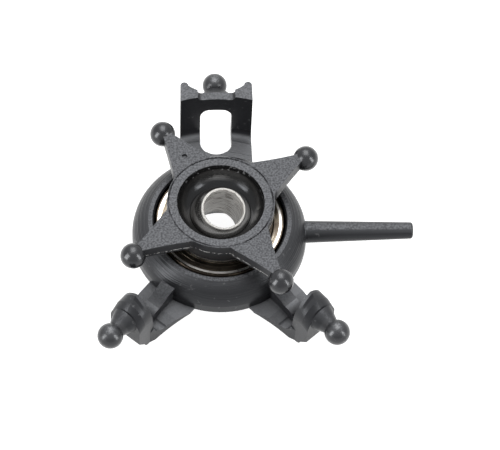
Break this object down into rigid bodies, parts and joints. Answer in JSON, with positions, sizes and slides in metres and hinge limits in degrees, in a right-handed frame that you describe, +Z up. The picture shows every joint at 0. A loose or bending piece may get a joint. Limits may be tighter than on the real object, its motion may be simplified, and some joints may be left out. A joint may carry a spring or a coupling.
{
  "type": "helicopter swashplate",
  "caption": "Ball-jointed tilting plate with a bearing-mounted star on top, link balls round both halves and a side guide pin, on a central pivot ball.",
  "frame": {"origin": "centre of the pivot ball, which is also the centre of its shaft bore", "axes": "+Z up along the plate's own axis towards the rotor, +X along the guide pin, +Y along the rear link arm"},
  "size_m": [0.0241, 0.0243, 0.0066],
  "materials": {
    "moulded_plastic": "satin black, finely grained",
    "star_plastic": "matt black, finely grained",
    "cap_plastic": "polished black",
    "polished_steel": "polished",
    "race_steel": "ground",
    "shield_steel": "satin"
  },
  "bodies": {
    "plate": {"outer_plate": "moulded_plastic", "outer_race": "race_steel", "bearing_shield_upper": "shield_steel", "bearing_shield_lower": "shield_steel", "shield_clip_upper": "shield_steel", "shield_clip_lower": "shield_steel"},
    "star": {"star": "star_plastic", "socket_cap": "cap_plastic", "race_collar": "race_steel", "inner_race": "race_steel"},
    "cage": {"cage": "shield_steel", "bearing_ball_01": "polished_steel", "bearing_ball_02": "polished_steel", "bearing_ball_03": "polished_steel", "bearing_ball_04": "polished_steel", "bearing_ball_05": "polished_steel", "bearing_ball_06": "polished_steel", "bearing_ball_07": "polished_steel", "bearing_ball_08": "polished_steel", "bearing_ball_09": "polished_steel", "bearing_ball_10": "polished_steel"},
    "uniball": {"uniball": "polished_steel"}
  },
  "joints": [
    {"name": "star_spin", "type": "hinge", "parent": "plate", "child": "star", "pos_m": [0, 0, 0], "axis": [0, 0, 1], "continuous": true},
    {"name": "cage_spin", "type": "hinge", "parent": "plate", "child": "cage", "pos_m": [0, 0, 0], "axis": [0, 0, 1], "continuous": true},
    {"name": "uniball_tilt", "type": "hinge", "parent": "star", "child": "uniball", "pos_m": [0, 0, 0], "axis": [0.9278, 0.373, 0], "range_deg": [-28, 3]}
  ],
  "couplings": [
    {"joint": "cage_spin", "follows": "star_spin", "ratio": 0.4253}
  ]
}
